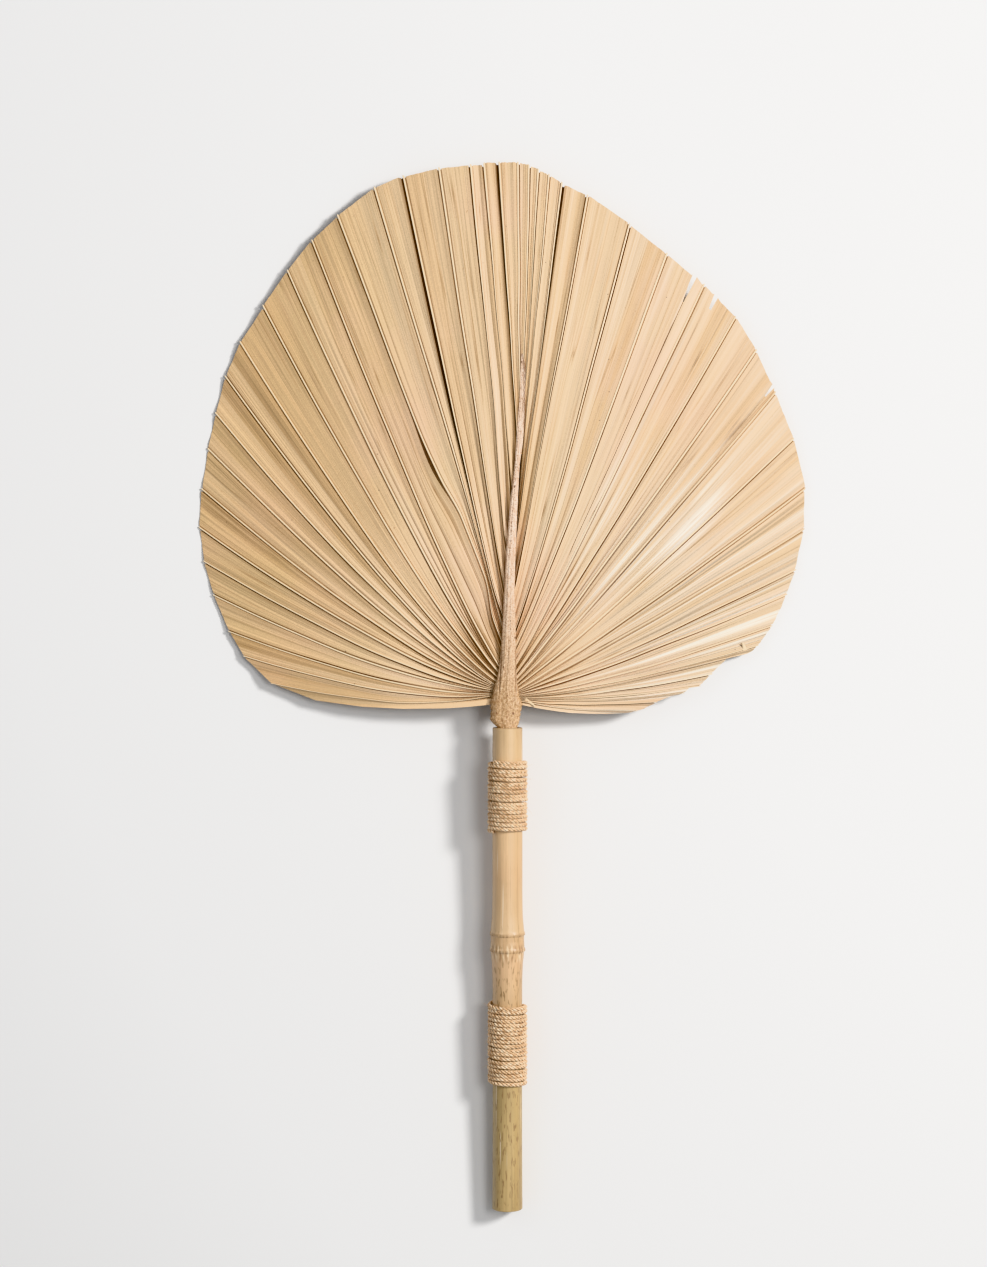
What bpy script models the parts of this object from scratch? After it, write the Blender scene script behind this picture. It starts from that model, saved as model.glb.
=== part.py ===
"""A dried fan palm leaf on a bamboo handle bound with twine.

Metres, +Z up. The leaf was cut to a rounded spade and lies with its ribbed back up. X runs
across it and Y from the handle's end to the leaf's tip. Sizes and places are first given
from the mouth of the handle, and the empty "fan" sets the whole over the middle of its box.
"""

import math
import random

import bmesh
import bpy
import numpy as np
from mathutils import Matrix, Vector

MM = 0.001

# The handle: one length of bamboo, a little lower at its cut end than at the leaf
CULM_LENGTH = 358 * MM
CULM_RADIUS = 11.0 * MM
CULM_END_RADIUS = 11.2 * MM
CULM_SLOPE = 0.045
CULM_SIDES = 28
SCAR_AT = 153.5 * MM
SCAR_RADIUS = 12.8 * MM
RING_AT = 165.5 * MM
RING_RADIUS = 13.1 * MM
EVEN_TO = 270 * MM
BORE_RADIUS = 7.6 * MM
LUMEN_RADIUS = 7.0 * MM
DIAPHRAGM_TOP = 157 * MM
DIAPHRAGM_BOTTOM = 162 * MM
RIM_CHAMFER = 0.5 * MM
WORN_DEPTH = 0.5 * MM

# The twine: two windings of one strand each
STRAND_RADIUS = 1.5 * MM
TWINE_GAP = 0.3 * MM
TWINE_STEPS = 14
UPPER_TWINE = {"top": 25.5 * MM, "turns": 14, "pitch": 3.5 * MM, "turned": 0.9}
LOWER_TWINE = {"top": 207 * MM, "turns": 15, "pitch": 3.72 * MM, "turned": 2.4}

# The petiole and the costa that it runs on into: distance up the leaf, half width
COSTA_HALF_WIDTHS = (
    (-57, 6.6), (-50, 7.2), (0, 7.25), (12, 8.2), (21, 10.2), (27, 9.6), (36, 7.2),
    (50, 5.7), (75, 5.2), (105, 4.8), (164, 4.6), (194, 3.5), (213, 2.2), (222, 1.2),
)
COSTA_DEPTH_TO_WIDTH = 0.8
COSTA_LIFT = 1.5 * MM
COSTA_RINGS = 26

# How the costa swings to the right on its way up: distance up the leaf, place across it
COSTA_SWING = (
    (-57, 0), (20, 0), (75, 1.3), (105, 2.4), (135, 4.2), (164, 5.6), (194, 7.7), (215, 8.8),
    (280, 10.0), (424, 9.0),
)

# The height of the leaf's back along its middle: distance up the leaf, height
SPINE_HEIGHTS = (
    (-57, 24.2), (0, 26.8), (60, 30.3), (150, 34.0), (250, 32.5), (350, 26.0), (424, 18.0),
)
SIDE_FALL = 31.0 * MM
SIDE_REACH = 225 * MM
SIDE_POWER = 1.7

# The cut rim, seen from a centre on the handle's line: turn from the tip, distance
RIM_CENTRE = 150 * MM
RIM = (
    (-180, 127), (-166, 138), (-158, 145), (-151, 153.5), (-139, 175), (-127, 203), (-119, 216),
    (-105, 223), (-90, 229), (-75, 230), (-60, 239), (-47, 245), (-38, 252), (-28, 264),
    (-18, 272), (-8, 274), (1, 273), (8, 263), (20, 245), (30, 236), (40, 232), (51, 229),
    (61, 224), (70, 223), (80, 224), (92, 220), (105, 212), (113, 206), (118, 196), (124, 190),
    (132, 180), (145, 164), (156, 149), (168, 137),
)

# The keels, where each meets the rim: turn from the tip, from low on the left clockwise
KEELS = (
    -123.5, -116, -110.5, -103, -96.4, -90, -82.8, -75.3, -68.6, -61.8, -55.3, -47.8, -40.6,
    -34.3, -28.6, -21.4, -16.5, -10.8, -5.8, -3.7, -1.3, 1.6, 3.4, 4.9, 6.7, 9, 13.6, 22, 30.3,
    39, 47.4, 54.6, 63.3, 72.9, 82.6, 90.3, 98.4, 103.5, 110.5, 115.3, 120.5, 125.7, 129.5,
    133.2, 139.5, 145,
)

# The flat margins below the lowest keels, down to the cleft
LEFT_MARGIN = (-160, -150, -141, -132)
RIGHT_MARGIN = (149, 155, 161)

# Where the folds start on the costa: turn of the fold from the tip, distance up the leaf
LEFT_ROOTS = (
    (0, 216), (2, 196), (5.8, 132), (10.8, 96), (16.5, 79), (21.4, 66), (28.6, 57), (34, 40),
    (48, 34), (62, 29), (90, 28), (124, 27), (132, 26), (141, 24.5), (150, 22.5), (160, 20),
)
RIGHT_ROOTS = (
    (0, 216), (3.4, 208), (4.9, 200), (6.7, 172), (9, 148), (13.6, 106), (22, 67), (30.3, 55),
    (39, 42), (48, 35.5), (62, 30), (83, 26), (98, 25), (140, 23), (149, 22), (161, 20.5),
)
ROOT_INSET = 2.2 * MM
WHOLE_INSET_BY = 5

# How far each fold bends out of the costa: turn of the fold from the tip, degrees
LEFT_BENDS = (
    (0, 0), (27, 0), (34, 11), (42, 18), (58, 24), (75, 21), (100, 19), (124, 19), (132, 13.5),
    (141, 9.5), (150, 8.5), (160, 6),
)
RIGHT_BENDS = ((0, 0), (13, 1), (22, 5), (48, 6), (98, 6), (110, 9), (140, 10), (149, 9), (161, 8))
FOLD_BEND_REACH = 66 * MM

# The section of one fold: a narrow keel on a broad ridge, and a soft valley
RIDGE_AT_ROOT = 1.5 * MM
RIDGE_AT_RIM = 4.4 * MM
KEEL_AT_ROOT = 0.3 * MM
KEEL_AT_RIM = 1.3 * MM
KEEL_SHARE = 0.09
SHOULDER = 0.8
FULL_FOLD = 13
FOLD_VARIES = 0.25
VALLEY_VARIES = 0.12
VALLEY_NOTCH = 1.2 * MM
KEEL_NOTCH = 0.3
BLADE_THICKNESS = 1.0 * MM
BLADE_ROWS = 10
ROW_CROWDING = 1.35
SEED = 7

# The splits in the rim: place of the inner end, place past the rim, width there
SPLITS = (
    ((123, 304), (141, 344), 4.2),
    ((148.5, 303.5), (158, 324), 3.4),
    ((172, 227), (201, 258), 2.6),
)


def through(points, x):
    """Height at x of a smooth line through points in millimetres, which never overshoots them."""
    places = np.array([p[0] for p in points]) * MM
    heights = np.array([p[1] for p in points]) * MM
    secants = np.diff(heights) / np.diff(places)
    both = secants[:-1] * secants[1:]
    total = np.where(both > 0, secants[:-1] + secants[1:], 1.0)
    slopes = np.concatenate([[secants[0]], np.where(both > 0, 2 * both / total, 0.0), [secants[-1]]])
    x = min(max(x, places[0]), places[-1])
    i = min(int(np.searchsorted(places, x, side="right")) - 1, len(places) - 2)
    step = places[i + 1] - places[i]
    t = (x - places[i]) / step
    rise = heights[i + 1] - heights[i]
    start = slopes[i] * step
    end = slopes[i + 1] * step
    return heights[i] + t * (start + t * (3 * rise - 2 * start - end + t * (start + end - 2 * rise)))


def handle_height(y):
    """Height of the handle's own line at y, so that its cut end is worn flat on the surface."""
    return CULM_END_RADIUS - WORN_DEPTH + CULM_SLOPE * (y + CULM_LENGTH)


def spine_height(y):
    """Height of the leaf along its middle, which leaves the handle in line with it."""
    share = min(max(y / (60 * MM), 0.0), 1.0)
    return (1 - share) * handle_height(y) + share * through(SPINE_HEIGHTS, y)


def leaf_height(x, y):
    """Height of the leaf without its folds: highest along the costa, down on both sides."""
    aside = abs(x - through(COSTA_SWING, y))
    return spine_height(y) - SIDE_FALL * (aside / SIDE_REACH) ** SIDE_POWER


def rim_distance(turn):
    """Distance of the rim from its centre at a turn in degrees."""
    around = [(a - 360, r) for a, r in RIM] + list(RIM) + [(a + 360, r) for a, r in RIM]
    return through(tuple((a, r) for a, r in around), turn * MM)


def rim_point(turn, inset=0.0):
    """Place on the rim at a turn in degrees from the tip."""
    distance = rim_distance(turn) - inset
    angle = math.radians(turn)
    return Vector((distance * math.sin(angle), RIM_CENTRE + distance * math.cos(angle)))


def root_point(turn):
    """Place on the costa where the fold of this turn starts."""
    roots = LEFT_ROOTS if turn < 0 else RIGHT_ROOTS
    up = np.interp(abs(turn), [r[0] for r in roots], [r[1] for r in roots]) * MM
    inset = ROOT_INSET * min(abs(turn) / WHOLE_INSET_BY, 1.0)
    return Vector((through(COSTA_SWING, up) + math.copysign(inset, turn), up))


def fold_place(turn, share, inset):
    """Place at a share of the way along a fold, which bends near its root."""
    root = root_point(turn)
    end = rim_point(turn, inset)
    chord = end - root
    reach = min(FOLD_BEND_REACH, 0.35 * chord.length)
    bends = LEFT_BENDS if turn < 0 else RIGHT_BENDS
    bend = math.radians(np.interp(abs(turn), [b[0] for b in bends], [b[1] for b in bends]))
    heading = chord.normalized()
    heading.rotate(Matrix.Rotation(-math.copysign(bend, turn), 2))
    knee = root + heading * reach
    return root.lerp(knee, share).lerp(knee.lerp(end, share), share)


def fold_columns():
    """The lines that the blade is drawn on: turn, share of ridge height, share of keel, notch."""
    draw = random.Random(SEED)
    columns = [(turn, 0.0, 0.0, 0.0) for turn in LEFT_MARGIN]
    for i, keel in enumerate(KEELS):
        before = KEELS[i - 1] if i else LEFT_MARGIN[-1]
        after = KEELS[i + 1] if i + 1 < len(KEELS) else RIGHT_MARGIN[0]
        height = 1 + FOLD_VARIES * draw.uniform(-1, 1)
        height *= min(1.0, (after - before) / FULL_FOLD)
        valley = 0.5 + VALLEY_VARIES * draw.uniform(-1, 1)
        columns.append((keel + KEEL_SHARE * (before - keel), SHOULDER * height, 0.0, KEEL_NOTCH))
        columns.append((keel, height, height, 0.0))
        columns.append((keel + KEEL_SHARE * (after - keel), SHOULDER * height, 0.0, KEEL_NOTCH))
        if i + 1 < len(KEELS):
            columns.append((keel + valley * (after - keel), 0.0, 0.0, 1.0))
    columns += [(turn, 0.0, 0.0, 0.0) for turn in RIGHT_MARGIN]
    return columns


def collection(name):
    made = bpy.data.collections.new(name)
    bpy.context.scene.collection.children.link(made)
    return made


def material(name, colour, roughness):
    made = bpy.data.materials.new(name)
    made.use_nodes = True
    shader = made.node_tree.nodes["Principled BSDF"]
    shader.inputs["Base Color"].default_value = (*colour, 1)
    shader.inputs["Roughness"].default_value = roughness
    shader.inputs["Metallic"].default_value = 0
    return made


def placed(name, data, into, parent=None, finish=None):
    made = bpy.data.objects.new(name, data)
    into.objects.link(made)
    made.parent = parent
    if finish:
        data.materials.append(finish)
    return made


def helper(obj):
    """Hides a shape that only cuts or joins."""
    obj.hide_render = True
    obj.display_type = "WIRE"
    return obj


def empty(name, into, parent=None):
    made = bpy.data.objects.new(name, None)
    into.objects.link(made)
    made.parent = parent
    return made


def boolean(obj, other, operation):
    step = obj.modifiers.new(operation.lower() + " " + other.name, "BOOLEAN")
    step.operation = operation
    step.object = other


def blade_mesh():
    """The pleated sheet: a grid laid along the folds, made solid straight down."""
    columns = fold_columns()
    bm = bmesh.new()
    bmesh.ops.create_grid(bm, x_segments=len(columns) - 1, y_segments=BLADE_ROWS - 1, size=0.5)
    for vert in bm.verts:
        column = columns[round((vert.co.x + 0.5) * (len(columns) - 1))]
        turn, ridge, keel, notch = column
        share = ((vert.co.y + 0.5)) ** ROW_CROWDING
        place = fold_place(turn, share, notch * VALLEY_NOTCH)
        grown = math.sqrt(share)
        height = leaf_height(place.x, place.y)
        height += (ridge - 0.5) * (RIDGE_AT_ROOT + (RIDGE_AT_RIM - RIDGE_AT_ROOT) * grown)
        height += keel * (KEEL_AT_ROOT + (KEEL_AT_RIM - KEEL_AT_ROOT) * grown)
        vert.co = Vector((place.x, place.y, max(height, BLADE_THICKNESS)))
    bmesh.ops.triangulate(bm, faces=bm.faces, quad_method="FIXED")
    grown_down = bmesh.ops.extrude_face_region(bm, geom=bm.faces[:])
    lower = [part for part in grown_down["geom"] if isinstance(part, bmesh.types.BMVert)]
    bmesh.ops.translate(bm, verts=lower, vec=(0, 0, -BLADE_THICKNESS))
    bmesh.ops.recalc_face_normals(bm, faces=bm.faces)
    mesh = bpy.data.meshes.new("palm_leaf")
    bm.to_mesh(mesh)
    bm.free()
    return mesh


def costa_mesh(into):
    """The petiole and costa: one tapering tube, flatter than it is wide, along the spine."""
    curve = bpy.data.curves.new("costa", "CURVE")
    curve.dimensions = "3D"
    curve.bevel_depth = 1.0
    curve.bevel_resolution = 2
    curve.use_fill_caps = True
    spline = curve.splines.new("POLY")
    low = COSTA_HALF_WIDTHS[0][0] * MM
    high = COSTA_HALF_WIDTHS[-1][0] * MM
    spline.points.add(COSTA_RINGS - 1)
    for i, point in enumerate(spline.points):
        y = low + (high - low) * i / (COSTA_RINGS - 1)
        lift = COSTA_LIFT * min(max(y / (40 * MM), 0.0), 1.0)
        z = (spine_height(y) + lift) / COSTA_DEPTH_TO_WIDTH
        point.co = (through(COSTA_SWING, y), y, z, 1)
        point.radius = through(COSTA_HALF_WIDTHS, y)
    rod = bpy.data.objects.new("costa_rod", curve)
    into.objects.link(rod)
    rod.scale.z = COSTA_DEPTH_TO_WIDTH
    bpy.context.view_layer.update()
    evaluated = rod.evaluated_get(bpy.context.evaluated_depsgraph_get())
    mesh = bpy.data.meshes.new_from_object(evaluated)
    mesh.transform(rod.matrix_world)
    bpy.data.objects.remove(rod)
    bm = bmesh.new()
    bm.from_mesh(mesh)
    bmesh.ops.remove_doubles(bm, verts=bm.verts, dist=0.01 * MM)
    bmesh.ops.recalc_face_normals(bm, faces=bm.faces)
    bm.to_mesh(mesh)
    bm.free()
    return mesh


def split_cutter(number, inner, outer, width, into, parent):
    """A tall three-sided wedge, with its edge at the inner end of the split."""
    inner = Vector(inner) * MM
    outer = Vector(outer) * MM
    bm = bmesh.new()
    bmesh.ops.create_cone(bm, cap_ends=True, segments=3, radius1=1, radius2=1, depth=200 * MM)
    mesh = bpy.data.meshes.new(f"split_{number}")
    bm.to_mesh(mesh)
    bm.free()
    along = outer - inner
    cutter = helper(placed(f"split_{number}", mesh, into, parent))
    cutter.scale = (width * MM / math.sqrt(3), along.length / 1.5, 1)
    middle = inner + along * (2 / 3)
    cutter.location = (middle.x, middle.y, 0)
    cutter.rotation_euler.z = math.atan2(along.y, along.x) + math.pi / 2
    return cutter


def palm_leaf(parts, cutters, fan):
    leaf = placed("palm_leaf", blade_mesh(), parts, fan, material("dried leaf", (0.70, 0.48, 0.27), 0.5))
    costa = helper(placed("costa", costa_mesh(cutters), cutters, fan))
    boolean(leaf, costa, "UNION")
    for number, (inner, outer, width) in enumerate(SPLITS):
        boolean(leaf, split_cutter(number, inner, outer, width, cutters, fan), "DIFFERENCE")
    leaf.data.shade_smooth()
    leaf.data.set_sharp_from_angle(angle=math.radians(25))
    return leaf


def culm_profile():
    """Half the culm's section, from the diaphragm round the mouth, down and back inside."""
    outside = (
        (CULM_RADIUS, 0.93 * SCAR_AT), (0.5 * (CULM_RADIUS + SCAR_RADIUS), 0.975 * SCAR_AT),
        (SCAR_RADIUS, SCAR_AT), (0.95 * SCAR_RADIUS, SCAR_AT + 2.5 * MM),
        (0.97 * RING_RADIUS, RING_AT - 4 * MM), (RING_RADIUS, RING_AT),
        (0.93 * RING_RADIUS, RING_AT + 3 * MM), (1.02 * CULM_RADIUS, RING_AT + 10 * MM),
        (CULM_RADIUS, RING_AT + 26 * MM), (CULM_RADIUS, EVEN_TO),
    )
    return (
        [(0, DIAPHRAGM_TOP), (BORE_RADIUS, DIAPHRAGM_TOP), (BORE_RADIUS, 0)]
        + [(CULM_RADIUS - RIM_CHAMFER, 0), (CULM_RADIUS, RIM_CHAMFER)]
        + list(outside)
        + [(CULM_END_RADIUS, CULM_LENGTH - RIM_CHAMFER)]
        + [(CULM_END_RADIUS - RIM_CHAMFER, CULM_LENGTH)]
        + [(LUMEN_RADIUS, CULM_LENGTH), (LUMEN_RADIUS, DIAPHRAGM_BOTTOM), (0, DIAPHRAGM_BOTTOM)]
    )


def bamboo_handle(parts, cutters, fan, axis):
    """The culm, turned about its own line, with a flat worn under its cut end."""
    profile = culm_profile()
    mesh = bpy.data.meshes.new("bamboo_handle")
    mesh.from_pydata(
        [(radius, 0, -down) for radius, down in profile],
        [(i, i + 1) for i in range(len(profile) - 1)],
        [],
    )
    culm = placed("bamboo_handle", mesh, parts, axis, material("bamboo", (0.66, 0.43, 0.22), 0.35))
    turned = culm.modifiers.new("turned", "SCREW")
    turned.steps = CULM_SIDES
    turned.render_steps = CULM_SIDES
    turned.use_merge_vertices = True
    turned.merge_threshold = 0.01 * MM
    turned.use_smooth_shade = True
    surface = bpy.data.meshes.new("surface")
    bm = bmesh.new()
    bmesh.ops.create_cube(bm, size=1)
    bm.to_mesh(surface)
    bm.free()
    block = helper(placed("surface", surface, cutters, fan))
    block.scale = (60 * MM, 60 * MM, 20 * MM)
    block.location = (0, -CULM_LENGTH, -10 * MM)
    boolean(culm, block, "DIFFERENCE")
    return culm


def twine_binding(name, winding, parts, axis, finish):
    """One strand wound tight round the culm from the top of the binding down."""
    curve = bpy.data.curves.new(name, "CURVE")
    curve.dimensions = "3D"
    curve.bevel_depth = STRAND_RADIUS
    curve.bevel_resolution = 1
    curve.use_fill_caps = True
    spline = curve.splines.new("POLY")
    count = winding["turns"] * TWINE_STEPS + 1
    spline.points.add(count - 1)
    radius = (CULM_RADIUS + TWINE_GAP + STRAND_RADIUS) / math.cos(math.pi / TWINE_STEPS)
    for i, point in enumerate(spline.points):
        angle = winding["turned"] + 2 * math.pi * i / TWINE_STEPS
        down = winding["top"] + STRAND_RADIUS + winding["pitch"] * i / TWINE_STEPS
        point.co = (radius * math.cos(angle), radius * math.sin(angle), -down, 1)
    return placed(name, curve, parts, axis, finish)


def main():
    for obj in list(bpy.data.objects):
        bpy.data.objects.remove(obj)
    parts = collection("fan_palm_leaf")
    cutters = collection("cutters")
    fan = empty("fan", parts)
    fan.location = (4 * MM, -33 * MM, 0)
    axis = empty("handle_line", parts, fan)
    axis.location = (0, 0, handle_height(0))
    axis.rotation_euler.x = math.atan(CULM_SLOPE) - math.pi / 2
    palm_leaf(parts, cutters, fan)
    bamboo_handle(parts, cutters, fan, axis)
    twine = material("jute twine", (0.62, 0.42, 0.24), 0.9)
    twine_binding("upper_twine_binding", UPPER_TWINE, parts, axis, twine)
    twine_binding("lower_twine_binding", LOWER_TWINE, parts, axis, twine)


main()
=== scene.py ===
import math

import bmesh
import bpy
import mathutils.kdtree
import numpy as np
from mathutils import Matrix, Vector


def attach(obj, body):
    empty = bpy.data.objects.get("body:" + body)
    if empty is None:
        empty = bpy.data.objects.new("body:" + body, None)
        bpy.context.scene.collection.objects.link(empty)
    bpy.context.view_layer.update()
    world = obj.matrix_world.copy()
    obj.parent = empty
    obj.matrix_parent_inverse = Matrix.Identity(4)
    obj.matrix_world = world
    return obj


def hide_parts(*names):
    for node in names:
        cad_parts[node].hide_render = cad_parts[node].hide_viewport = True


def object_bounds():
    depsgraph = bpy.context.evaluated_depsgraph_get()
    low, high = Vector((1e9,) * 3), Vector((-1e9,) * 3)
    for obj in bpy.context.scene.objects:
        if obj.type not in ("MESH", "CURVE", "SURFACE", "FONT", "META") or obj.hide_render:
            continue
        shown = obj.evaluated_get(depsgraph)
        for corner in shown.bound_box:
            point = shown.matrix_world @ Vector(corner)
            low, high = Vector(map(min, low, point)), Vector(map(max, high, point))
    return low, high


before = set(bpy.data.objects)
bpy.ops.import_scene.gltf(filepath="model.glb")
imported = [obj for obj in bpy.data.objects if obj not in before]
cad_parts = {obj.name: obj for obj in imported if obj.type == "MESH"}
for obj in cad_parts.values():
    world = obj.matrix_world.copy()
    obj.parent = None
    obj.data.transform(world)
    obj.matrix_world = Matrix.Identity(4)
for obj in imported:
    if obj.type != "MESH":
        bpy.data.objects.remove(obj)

cad_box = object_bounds()
MM = 0.001

# The table and the light.
# A pale matt surface under the leaf, a soft light high on the right that gives the folds their
# bright and dark lines, and a white room around it.
camera_height = 2.05
view_length = 0.9458
view_middle = (-0.0063, 0.0375)
table_reach = 20.0

camera_data = bpy.data.cameras.new("straight_down")
camera_data.sensor_fit = "VERTICAL"
camera_data.sensor_height = 36.0
camera_data.lens = 36.0 * camera_height / view_length
camera = bpy.data.objects.new("straight_down", camera_data)
bpy.context.scene.collection.objects.link(camera)
camera.location = (view_middle[0], view_middle[1], camera_height)
bpy.context.scene.camera = camera
bpy.context.scene.view_settings.view_transform = "Khronos PBR Neutral"


def give(socket, value):
    """Links a socket from another one or sets its plain value; a colour gets its alpha."""
    if isinstance(value, bpy.types.NodeSocket):
        socket.id_data.links.new(value, socket)
    else:
        socket.default_value = (*value, 1) if socket.type == "RGBA" else value


def surface(name):
    """A new material, with its node tree and the sockets of its shader."""
    made = bpy.data.materials.new(name)
    made.use_nodes = True
    return made, made.node_tree, made.node_tree.nodes["Principled BSDF"].inputs


table_paint, _, table_shader = surface("pale table")
give(table_shader["Base Color"], (0.78, 0.78, 0.785))
give(table_shader["Roughness"], 0.9)
bpy.ops.mesh.primitive_plane_add(size=table_reach, location=(0, 0, 0))
table = bpy.context.object
table.name = "table"
table.data.materials.append(table_paint)


def softbox(name, place, aim, size, power, colour):
    data = bpy.data.lights.new(name, "AREA")
    data.shape = "DISK"
    data.size = size
    data.energy = power
    data.color = colour
    light = bpy.data.objects.new(name, data)
    bpy.context.scene.collection.objects.link(light)
    light.location = place
    light.rotation_euler = (Vector(aim) - Vector(place)).to_track_quat("-Z", "Y").to_euler()


softbox("softbox_right", (1.75, 0.75, 1.75), (0, 0.05, 0), 0.55, 66, (1.0, 0.985, 0.96))
softbox("softbox_over", (0.85, 0.15, 2.1), (0.05, 0.1, 0), 0.8, 15, (1.0, 0.99, 0.97))
softbox("softbox_left", (-1.6, 0.9, 1.9), (0, 0.05, 0), 1.6, 7, (0.95, 0.97, 1.0))

world = bpy.data.worlds.new("white room")
world.use_nodes = True
give(world.node_tree.nodes["Background"].inputs["Color"], (1.0, 1.0, 1.0))
give(world.node_tree.nodes["Background"].inputs["Strength"], 0.33)
bpy.context.scene.world = world

# The blade of the leaf.
# One dried leaf, pleated from its costa outward and cut to a rounded spade. Each fold is a
# broad ridge with a stiff keel, a dark cleft on the keel's left and a soft valley between.
fan_place = (4 * MM, -33 * MM)
culm_length = 358 * MM
culm_end_radius = 11.2 * MM
worn_depth = 0.5 * MM
culm_slope = 0.045

costa_swing = ((-57, 0), (20, 0), (75, 1.3), (105, 2.4), (135, 4.2), (164, 5.6), (194, 7.7),
               (215, 8.8), (280, 10.0), (424, 9.0))
spine_heights = ((-57, 24.2), (0, 26.8), (60, 30.3), (150, 34.0), (250, 32.5), (350, 26.0),
                 (424, 18.0))
side_fall = 31.0 * MM
side_reach = 225 * MM
side_power = 1.7

# The rim: direction in degrees from straight up, and distance from a centre on the leaf's axis
rim_centre = 150 * MM
rim = ((-180, 127), (-166, 138), (-158, 145.5), (-151, 154.5), (-139, 176), (-127, 204.3),
       (-119, 217.3), (-105, 224.3), (-90, 230.2), (-75, 231.2), (-60, 240.2), (-47, 246.5),
       (-38, 254), (-32, 261.5), (-28, 264.5), (-18, 272), (-8, 271.5), (-3, 269.5), (2, 269.5),
       (8, 260), (20, 244), (30, 234.3), (40, 231.5), (51, 229), (61, 223.5), (70, 222.5),
       (80, 224.5), (92, 221), (105, 213.5), (109.3, 211.3), (112.5, 208.8),
       (115, 206.8), (117.3, 203.6), (118.9, 198.1), (120.8, 191.2), (122.6, 189.4),
       (127.3, 186.7), (129.4, 186.2), (131.1, 181.3), (132.5, 181), (136, 175.2),
       (138.6, 171.9), (141.6, 170), (142.7, 169.5), (145.1, 167), (149.6, 161), (153.6, 155),
       (168, 138.5))

# Direction of each keel's end on the rim, in degrees from straight up
keels = np.array([
    -123.5, -116, -110.5, -103, -96.4, -90, -82.8, -75.3, -68.6, -61.8, -55.3, -47.8, -40.6,
    -34.3, -28.6, -21.4, -16.5, -10.8, -5.8, -3.7, -1.3, 1.6, 3.4, 4.9, 6.7, 9, 13.6, 22, 30.3,
    39, 47.4, 54.6, 63.3, 72.9, 82.6, 90.3, 98.4, 103.5, 110.5, 115.3, 120.5, 125.7, 129.5,
    133.2, 139.5, 145,
])

# Folds outside the first and the last keel
left_margin = (-160, -150, -141, -132)
right_margin = (149, 155, 161)

# Direction of a fold's end, then how far up the costa its root lies
roots_left = ((0, 216), (2, 196), (5.8, 132), (10.8, 96), (16.5, 79), (21.4, 66), (28.6, 57),
              (34, 40), (48, 34), (62, 29), (90, 28), (124, 27), (132, 26), (141, 24.5),
              (150, 22.5), (160, 20))
roots_right = ((0, 216), (3.4, 208), (4.9, 200), (6.7, 172), (9, 148), (13.6, 106), (22, 67),
               (30.3, 55), (39, 42), (48, 35.5), (62, 30), (83, 26), (98, 25),
               (140, 23), (149, 22), (161, 20.5))
root_inset = 2.2 * MM
whole_inset_by = 5
# Direction of a fold's end, then by how many degrees it sets out beside the straight line
bends_left = ((0, 0), (27, 0), (34, 11), (42, 18), (58, 24), (75, 21), (100, 19), (124, 19),
              (132, 13.5), (141, 9.5), (150, 8.5), (160, 6))
bends_right = ((0, 0), (13, 1), (22, 5), (48, 6), (98, 6), (110, 9), (140, 10), (149, 9),
               (161, 8))
bend_reach = 66 * MM
bend_share = 0.35


def through(points, x):
    """A smooth line through points in millimetres, read at x in metres, without overshoot."""
    places, heights = np.array(points).T * MM
    secants = np.diff(heights) / np.diff(places)
    both = secants[:-1] * secants[1:]
    total = np.where(both > 0, secants[:-1] + secants[1:], 1.0)
    middle = np.where(both > 0, 2 * both / total, 0.0)
    slopes = np.concatenate([[secants[0]], middle, [secants[-1]]])
    x = np.clip(np.asarray(x, float), places[0], places[-1])
    i = np.clip(np.searchsorted(places, x, side="right") - 1, 0, len(places) - 2)
    step = places[i + 1] - places[i]
    t = (x - places[i]) / step
    rise = heights[i + 1] - heights[i]
    start = slopes[i] * step
    end = slopes[i + 1] * step
    bend = 3 * rise - 2 * start - end
    return heights[i] + t * (start + t * (bend + t * (start + end - 2 * rise)))


def straight(points, x):
    """Straight lines through points, read at x."""
    return np.interp(x, *zip(*points))


def spine_height(y):
    along = culm_end_radius - worn_depth + culm_slope * (y + culm_length)
    share = np.clip(y / (60 * MM), 0, 1)
    return (1 - share) * along + share * through(spine_heights, y)


def leaf_height(x, y):
    aside = np.abs(x - through(costa_swing, y))
    return spine_height(y) - side_fall * (aside / side_reach) ** side_power


def rim_distance(turn):
    around = tuple((a + k, r) for k in (-360, 0, 360) for a, r in rim)
    return through(around, np.asarray(turn) * MM)


def fold_lines(turns, shares):
    """Places along folds: one line for each turn, one point for each share of its length."""
    turns = np.asarray(turns, float)
    side = np.where(turns < 0, -1.0, 1.0)
    up = np.where(turns < 0, straight(roots_left, -turns), straight(roots_right, turns)) * MM
    inset = side * root_inset * np.clip(np.abs(turns) / whole_inset_by, 0, 1)
    root = np.stack([through(costa_swing, up) + inset, up], -1)
    reach = rim_distance(turns)
    angle = np.radians(turns)
    end = np.stack([reach * np.sin(angle), rim_centre + reach * np.cos(angle)], -1)
    chord = end - root
    length = np.linalg.norm(chord, axis=-1)
    bend = np.where(turns < 0, straight(bends_left, -turns), straight(bends_right, turns))
    bend = np.radians(bend) * side
    heading = np.stack([
        chord[:, 0] * np.cos(bend) + chord[:, 1] * np.sin(bend),
        chord[:, 1] * np.cos(bend) - chord[:, 0] * np.sin(bend),
    ], -1) / length[:, None]
    knee = root + heading * np.minimum(bend_reach, bend_share * length)[:, None]
    s = shares[None, :, None]
    return (1 - s) ** 2 * root[:, None] + 2 * s * (1 - s) * knee[:, None] + s ** 2 * end[:, None]


blade_rows = 61
row_crowding = 1.3
shares = np.linspace(0, 1, blade_rows) ** row_crowding
draw = np.random.default_rng(11)
fold_count = len(keels)

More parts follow.
